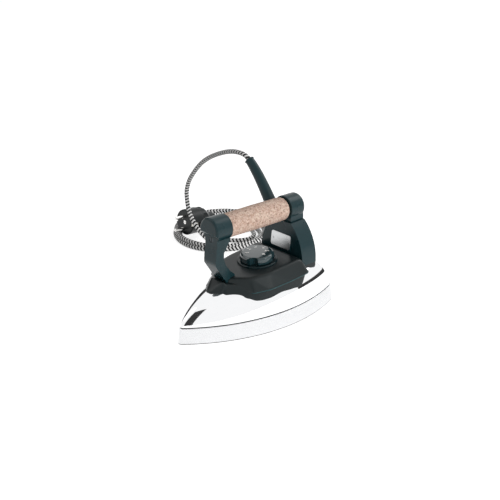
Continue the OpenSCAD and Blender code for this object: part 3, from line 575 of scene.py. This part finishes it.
sleeve = {"route": [(-22.7, 74.5, 110.7), (-27.5, 75, 118.5), (-33, 75.5, 127.5), (-39.5, 75.5, 137),
                    (-48.5, 75.5, 149.5), (-58, 75.5, 161.5), (-67, 75.5, 171.5), (-74, 75.5, 178),
                    (-77, 75.5, 180.5)],
          "base": 9.4, "tip": 5.8, "lip": (6.2, 6.7, 6.8, 6.7, 6.2), "steps": 6, "sides": 48}


def fitSleeve():
    line = splineThrough([Vector(point) * mm for point in sleeve["route"]], sleeve["steps"])
    last = len(line) - 1
    radii = [(sleeve["base"] + (sleeve["tip"] - sleeve["base"]) * i / last) * mm
             for i in range(last + 1)]
    for back, radius in enumerate(sleeve["lip"]):
        radii[last - back] = radius * mm
    points, faces = stackRings(sweepRound(line, radii, sleeve["sides"])[0])
    makePiece("lead_sleeve", points, faces, "sleeve", "iron", ("cord_sleeve",))


layLead()
fitSleeve()
print("lead and sleeve laid")


# sole and chrome cover

def arcPoints(centre, radius, start, end, count):
    return [(centre[0] + radius * math.cos(start + (end - start) * i / count),
             centre[1] + radius * math.sin(start + (end - start) * i / count)) for i in range(count + 1)]


def ironOutline(half, front, rear, widest, tip, corner):
    run = widest - front - tip
    long = (half * half + run * run - tip * tip) / (2 * (half - tip))
    middle = half - long + math.sqrt((long - corner) ** 2 - (rear - corner - widest) ** 2)
    leave = math.atan2(-run, long - half)
    meet = math.atan2(rear - corner - widest, middle - half + long)
    side = (arcPoints((0, front + tip), tip, -math.pi / 2, leave, 10)
            + arcPoints((half - long, widest), long, leave, meet, 48)[1:]
            + arcPoints((middle, rear - corner), corner, meet, math.pi / 2, 10)[1:])
    return side + [(-x, y) for x, y in reversed(side[1:])]


sole = {"half": 60.5, "tip": -118.5, "rear": 118.5, "thick": 21.5, "flare": 2.4, "chamfer": 0.8,
        "tipRadius": 4, "corner": 4.5, "widest": 32, "rearUpright": 5}


def soleRing(z, draw):                           # draw: how far in from the foot of the side
    rearDraw = max(draw - sole["flare"], 0) if z > sole["rearUpright"] else draw
    ring = ironOutline(sole["half"] - draw, sole["tip"] + draw, sole["rear"] - rearDraw,
                       sole["widest"], sole["tipRadius"], sole["corner"])
    return [(x * mm, y * mm, z * mm) for x, y in ring]


def flatEnds(piece):                             # keeps the flat ends from shading round
    for face in piece.data.polygons:
        if len(face.vertices) > 4:
            face.use_smooth = False
    split = piece.modifiers.new("split", "EDGE_SPLIT")
    split.split_angle = math.radians(50)


def makeSole():
    soft, top, flare = sole["chamfer"], sole["thick"], sole["flare"]
    bend = (0.4, 0.8, 1.2, math.pi / 2)
    rings = [soleRing(0, soft)]
    rings += [soleRing(soft * (1 - math.cos(a)), soft * (1 - math.sin(a))) for a in bend]
    rings += [soleRing(soft + (top - 2 * soft) * i / 8, flare * i / 8) for i in range(1, 9)]
    rings += [soleRing(top - soft + soft * math.sin(a), flare + soft * (1 - math.cos(a)))
              for a in bend]
    points, faces = stackRings(rings)
    piece = makePiece("sole_plate", points, faces, "sole_alloy", "iron", ("soleplate",))
    flatEnds(piece)


dome = {"half": 57.1, "front": -115.1, "rear": 114, "noseRun": 87, "noseBend": 1.6, "rearRun": 27,
        "topWidth": 70.2, "seam": 22.3, "height": 41, "sheet": 1.2, "rings": 36,
        "tipRadius": 4, "tipGrowth": 0.3, "tipSpare": 5, "corner": 4.5, "cornerGrowth": 0.35}


def domeShare(t, bend):
    return 1 - (1 - t ** bend) ** (1 / bend)


def domeRing(t, inside=0.0):
    side, nose = domeShare(t, 2), dome["noseRun"] * domeShare(t, dome["noseBend"])
    rear = dome["rearRun"] * side
    half = dome["half"] - (dome["half"] - dome["topWidth"] / 2) * side - inside
    tipRadius = min(dome["tipRadius"] + dome["tipGrowth"] * nose, half - dome["tipSpare"])
    ring = ironOutline(half, dome["front"] + nose + inside, dome["rear"] - rear - inside,
                       sole["widest"], tipRadius, dome["corner"] + dome["cornerGrowth"] * rear)
    z = dome["seam"] + (dome["height"] - inside) * t
    return [(x * mm, y * mm, z * mm) for x, y in ring]


def makeDome():
    count = dome["rings"]
    shares = [0.012] + [math.sin(math.pi / 2 * i / count) for i in range(1, count)] + [0.9999]
    inner = [domeRing(t, dome["sheet"]) for t in reversed(shares[::6])]
    points, faces = stackRings(inner + [domeRing(t) for t in shares])
    piece = makePiece("cover_shell", points, faces, "chrome", "iron", ("chrome_cover",))
    flatEnds(piece)
    bpy.context.view_layer.update()
    return piece


makeSole()
cover = makeDome()
print("sole and cover made")


# moulded body: deck, skirt and the foot in front of the post

def filletOutline(corners, steps=12):            # corners: x, y and the radius of each
    ring = []
    for i, (x, y, radius) in enumerate(corners):
        here = Vector((x, y))
        back = (Vector(corners[i - 1][:2]) - here).normalized()
        on = (Vector(corners[(i + 1) % len(corners)][:2]) - here).normalized()
        half = math.acos(max(-1, min(1, back.dot(on)))) / 2
        centre = here + (back + on).normalized() * radius / math.sin(half)
        first = here + back * radius / math.tan(half) - centre
        second = here + on * radius / math.tan(half) - centre
        start = math.atan2(first.y, first.x)
        sweep = (math.atan2(second.y, second.x) - start + math.pi) % (2 * math.pi) - math.pi
        ring += arcPoints(centre, radius, start, start + sweep, steps)
    return ring


def bothSides(half):
    return half + [(-x, y, radius) for x, y, radius in reversed(half)]


deck = {"dial": (0, 17.2, 75), "tilt": 3.5, "half": 43, "rim": 52, "rimRear": 45.5, "rimDrop": 18,
        "lip": 1.8, "lipOut": 1.1, "roundIn": 7, "roundDown": 7.5, "grain": 0.8, "rounds": 10}
bead = {"radius": 0.7, "out": 0.6, "up": 1.1, "sides": 12}
dialFrame = (Matrix.Translation(Vector(deck["dial"]) * mm)
             @ Matrix.Rotation(math.radians(deck["tilt"]), 4, "X"))


def rimOutline(grow):
    rim = deck["rim"] + grow
    return filletOutline(bothSides([(13, -53 - grow, 4), (rim - 12, -46 - grow, 7),
                                    (rim - 3, -25, 30), (rim, 9, 100), (rim, deck["rimRear"], 8)]))


def deckOutline(draw):
    half = deck["half"]
    return filletOutline(bothSides([(11 - draw / 3, -63 + draw, 4),
                                    (half - 7 - draw, -44 + draw / 2, 12),
                                    (half - draw, -16, 60), (half + 1 - draw, 44.2 - draw, 6)]))


def onDial(outline, z):
    return [dialFrame @ (Vector((x, y, z)) * mm) for x, y in outline]


def mouldPiece(name, hulls, grain, rounds, covers=()):   # hulls melted into one moulding
    points, faces = [], []
    for corners in hulls:
        build = bmesh.new()
        for corner in corners:
            build.verts.new(corner)
        bmesh.ops.convex_hull(build, input=build.verts)
        inside = [v for v in build.verts if not v.link_faces]
        bmesh.ops.delete(build, geom=inside, context="VERTS")
        build.verts.index_update()
        faces += [tuple(v.index + len(points) for v in face.verts) for face in build.faces]
        points += [v.co.copy() for v in build.verts]
        build.free()
    piece = makePiece(name, points, faces, "phenolic", "iron", covers)
    # the deck and skirt take the darker copy of the phenolic: painted shade
    piece.data.materials[0] = finishes["phenolicPaintedDark"]
    melt = piece.modifiers.new("melt", "REMESH")
    melt.mode = "VOXEL"
    melt.voxel_size = grain * mm
    melt.use_smooth_shade = True
    smooth = piece.modifiers.new("smooth", "SMOOTH")
    smooth.factor = 0.6
    smooth.iterations = rounds


def layBead():                                   # raised line round the deck's lip, in a lighter finish that paints its highlight
    line = onDial(rimOutline(bead["out"]), bead["up"] - deck["rimDrop"])
    line.append(line[0])
    points, faces = stackRings(sweepRound(line, [bead["radius"] * mm] * len(line), bead["sides"])[0])
    makePiece("deck_bead", points, faces, "phenolic").data.materials[0] = finishes["bead"]


def mouldDeck():
    corners = [point for lip in (0, deck["lip"])
               for point in onDial(rimOutline(deck["lipOut"]), lip - deck["rimDrop"])]
    for i in range(9):                           # the top's edge is rounded over
        a = math.pi / 2 * i / 8
        corners += onDial(deckOutline(deck["roundIn"] * (1 - math.cos(a))),
                          -deck["roundDown"] * (1 - math.sin(a)))
    mouldPiece("deck_shell", [corners], deck["grain"], deck["rounds"], ("deck_housing",))


skirt = {"hem": [(14, -62, 4), (30, -61, 10), (41, -45, 20), (47.3, -23, 60), (51, -5, 90),
                 (54.4, 30, 90), (52.4, 53, 10)],
         "sink": 4, "under": 1.8, "overlap": 3, "saddle": (65, 66), "saddleHalf": 13, "saddleRun": 10,
         "footBack": -51.5, "toe": [(4, -17.5, 5), (14.5, -9, 7), (19, 1, 1)], "toeFoot": 50,
         "toeLow": 56, "toeRise": 13.5, "toeNarrow": 0.37, "grain": 0.9, "rounds": 14}


def hemOutline():                                # seen from above, where the skirt meets the dome
    hem = filletOutline(bothSides(skirt["hem"]))
    return [(x + (u - x) * part / 4, y + (v - y) * part / 4)
            for (x, y), (u, v) in zip(hem, hem[1:] + hem[:1]) for part in range(4)]


def domeHeight(x, y):
    return cover.ray_cast(Vector((x, y, 0.1)), Vector((0, 0, -1)))[1].z


def mouldSkirt():
    back, half = skirt["footBack"], skirt["saddleHalf"]
    walls = [Vector((x * mm, y * mm, domeHeight(x * mm, y * mm) - skirt["sink"] * mm))
             for x, y in hemOutline()]
    walls += onDial(rimOutline(-skirt["under"]), skirt["overlap"] - deck["rimDrop"])
    walls += [Vector((x, back + y, z)) * mm
              for x in (-half, half) for y in (0, skirt["saddleRun"]) for z in skirt["saddle"]]
    toe = filletOutline(bothSides(skirt["toe"]))
    foot = [Vector((x, back + y, skirt["toeFoot"])) * mm for x, y in toe]
    for i in range(9):                           # the toe rises and narrows towards the post
        rise = i / 8
        height = skirt["toeLow"] + skirt["toeRise"] * rise ** 0.75
        foot += [Vector((x * (1 - skirt["toeNarrow"] * rise), back + y * (1 - rise), height)) * mm
                 for x, y in toe]
    mouldPiece("skirt_shell", [walls, foot], skirt["grain"], skirt["rounds"], ("skirt",))


heel = {"profile": ((37, 54), (38.7, 57), (38.7, 64.5)), "ends": (62, 88), "grain": 0.9, "rounds": 2}


def mouldHeel():                                 # the rear post's foot, between post and dome
    corners = [Vector((side * x, y, z)) * mm
               for side in (-1, 1) for x, z in heel["profile"] for y in heel["ends"]]
    mouldPiece("rear_post_heel", [corners], heel["grain"], heel["rounds"])


layBead()
mouldDeck()
mouldSkirt()
mouldHeel()
print("body moulded")


for name, node in nodes.items():
    node.data.materials.clear()
    node.data.materials.append(finishes["blackened" if name == "post_screw" else slotOf[name]])
    if not node.hide_render:
        smoothNode(node)
print("solids dressed")


# dial numbers

dialMarks = {"radius": 12.8, "size": 7.4, "start": 150, "step": -48, "count": 6, "height": 12.54,
             "thick": 0.00006, "bold": 0.00018}  # these two in metres


def paintNumbers():
    points, faces = [], []
    for number in range(dialMarks["count"]):
        text = bpy.data.curves.new("number", "FONT")
        text.body = str(number + 1)
        text.size = dialMarks["size"] * mm
        text.extrude = dialMarks["thick"]
        text.offset = dialMarks["bold"]
        text.align_x = text.align_y = "CENTER"
        text.resolution_u = 3
        shape = bpy.data.objects.new("number", text)
        bpy.context.scene.collection.objects.link(shape)
        bpy.context.view_layer.update()
        solved = shape.evaluated_get(bpy.context.evaluated_depsgraph_get())
        mesh = bpy.data.meshes.new_from_object(solved)
        turn = math.radians(dialMarks["start"] + dialMarks["step"] * number)
        lay = (dialFrame @ Matrix.Rotation(turn, 4, "Z")
               @ Matrix.Translation((0, dialMarks["radius"] * mm, dialMarks["height"] * mm)))
        faces += [tuple(corner + len(points) for corner in face.vertices) for face in mesh.polygons]
        points += [lay @ vertex.co for vertex in mesh.vertices]
        bpy.data.objects.remove(shape)
    piece = makePiece("dial_numbers", points, faces, "knob", "dial")
    piece.data.materials[0] = finishes["paint"]
    shade(piece.data, False)


plasticFinish("paint", (0.97, 0.98, 0.96), 0.6, shine=0.1)
paintNumbers()
print("dial numbered")
